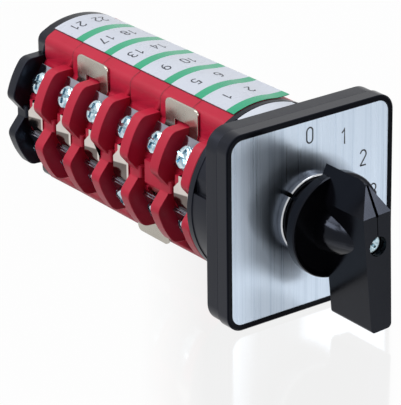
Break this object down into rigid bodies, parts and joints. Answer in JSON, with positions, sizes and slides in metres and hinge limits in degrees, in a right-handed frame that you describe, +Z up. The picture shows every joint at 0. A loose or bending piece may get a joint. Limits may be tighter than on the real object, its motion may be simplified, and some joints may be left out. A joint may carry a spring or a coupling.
{
  "type": "rotary cam switch",
  "caption": "Panel-mounted rotary cam switch: square dial plate, lever knob on a square shaft, round detent housing and a stack of red contact stages with screw terminals.",
  "frame": {"origin": "centre of the front plate's rear face, which lies on the panel, on the shaft's axis", "axes": "+Y along the shaft towards the rear, +X to the right and +Z up as seen from the front"},
  "size_m": [0.064, 0.1593, 0.064],
  "materials": {
    "bezel_black": "gloss black",
    "black_plastic": "satin black",
    "red_plastic": "satin red",
    "dial_aluminium": "brushed vertically, black numbers",
    "bright_nickel": "bright",
    "steel": "plain",
    "zinc_plated_steel": "blue-white zinc",
    "dull_nickel": "dull nickel",
    "contact_brass": "plain, silver rivets",
    "label_film": "white film with green lines and black numbers",
    "ivory_plastic": "natural"
  },
  "bodies": {
    "switch_body": {"front_bezel": "bezel_black", "mounting_base": "black_plastic", "dial_plate": "dial_aluminium", "collar_ring": "bright_nickel", "detent_housing": "black_plastic", "stop_plate": "steel", "detent_slide_left": "ivory_plastic", "detent_slide_right": "ivory_plastic", "detent_roller_left": "steel", "detent_roller_right": "steel", "detent_springs": "steel", "stage_1": "red_plastic", "stage_2": "red_plastic", "stage_3": "red_plastic", "stage_4": "red_plastic", "stage_5": "red_plastic", "stage_6": "red_plastic", "rear_cap": "black_plastic", "fixed_contacts_1": "contact_brass", "fixed_contacts_2": "contact_brass", "fixed_contacts_3": "contact_brass", "fixed_contacts_4": "contact_brass", "fixed_contacts_5": "contact_brass", "fixed_contacts_6": "contact_brass", "other_plungers": "ivory_plastic", "other_bridges": "contact_brass", "contact_springs": "steel", "link_strap_1": "dull_nickel", "link_strap_3": "dull_nickel", "link_strap_4": "dull_nickel", "link_strap_5": "dull_nickel", "link_strap_6": "dull_nickel", "jumper_1_2_upper": "dull_nickel", "jumper_2_3_lower": "dull_nickel", "jumper_4_5_upper": "dull_nickel", "pressure_plates": "zinc_plated_steel", "clamp_washers": "zinc_plated_steel", "terminal_screws": "zinc_plated_steel", "tie_bolts": "zinc_plated_steel", "tie_nuts": "zinc_plated_steel", "label_strip": "label_film", "housing_label": "label_film"},
    "rotor": {"knob": "black_plastic", "knob_screw": "zinc_plated_steel", "shaft": "steel", "star_wheel": "ivory_plastic", "cam_1": "ivory_plastic", "cam_2": "ivory_plastic", "cam_3": "ivory_plastic", "cam_4": "ivory_plastic", "cam_5": "ivory_plastic", "cam_6": "ivory_plastic"},
    "contact_2_upper": {"plunger_2_upper": "ivory_plastic", "bridge_2_upper": "contact_brass"},
    "contact_3_lower": {"plunger_3_lower": "ivory_plastic", "bridge_3_lower": "contact_brass"},
    "contact_5_upper": {"plunger_5_upper": "ivory_plastic", "bridge_5_upper": "contact_brass"},
    "contact_6_lower": {"plunger_6_lower": "ivory_plastic", "bridge_6_lower": "contact_brass"}
  },
  "joints": [
    {"name": "knob_turn", "type": "hinge", "parent": "switch_body", "child": "rotor", "pos_m": [0, 0, 0], "axis": [0, 1, 0], "range_deg": [0, 90]},
    {"name": "contact_2_upper_slide", "type": "slide", "parent": "switch_body", "child": "contact_2_upper", "axis": [0, 0, -1], "range_m": [0, 0.002]},
    {"name": "contact_3_lower_slide", "type": "slide", "parent": "switch_body", "child": "contact_3_lower", "axis": [0, 0, 1], "range_m": [0, 0.002]},
    {"name": "contact_5_upper_slide", "type": "slide", "parent": "switch_body", "child": "contact_5_upper", "axis": [0, 0, -1], "range_m": [0, 0.002]},
    {"name": "contact_6_lower_slide", "type": "slide", "parent": "switch_body", "child": "contact_6_lower", "axis": [0, 0, 1], "range_m": [0, 0.002]}
  ],
  "couplings": [
    {"joint": "contact_2_upper_slide", "follows": "knob_turn", "m_per_rad": 0.0012732},
    {"joint": "contact_3_lower_slide", "follows": "knob_turn", "m_per_rad": 0.0012732},
    {"joint": "contact_5_upper_slide", "follows": "knob_turn", "m_per_rad": 0.0012732},
    {"joint": "contact_6_lower_slide", "follows": "knob_turn", "m_per_rad": 0.0012732}
  ]
}
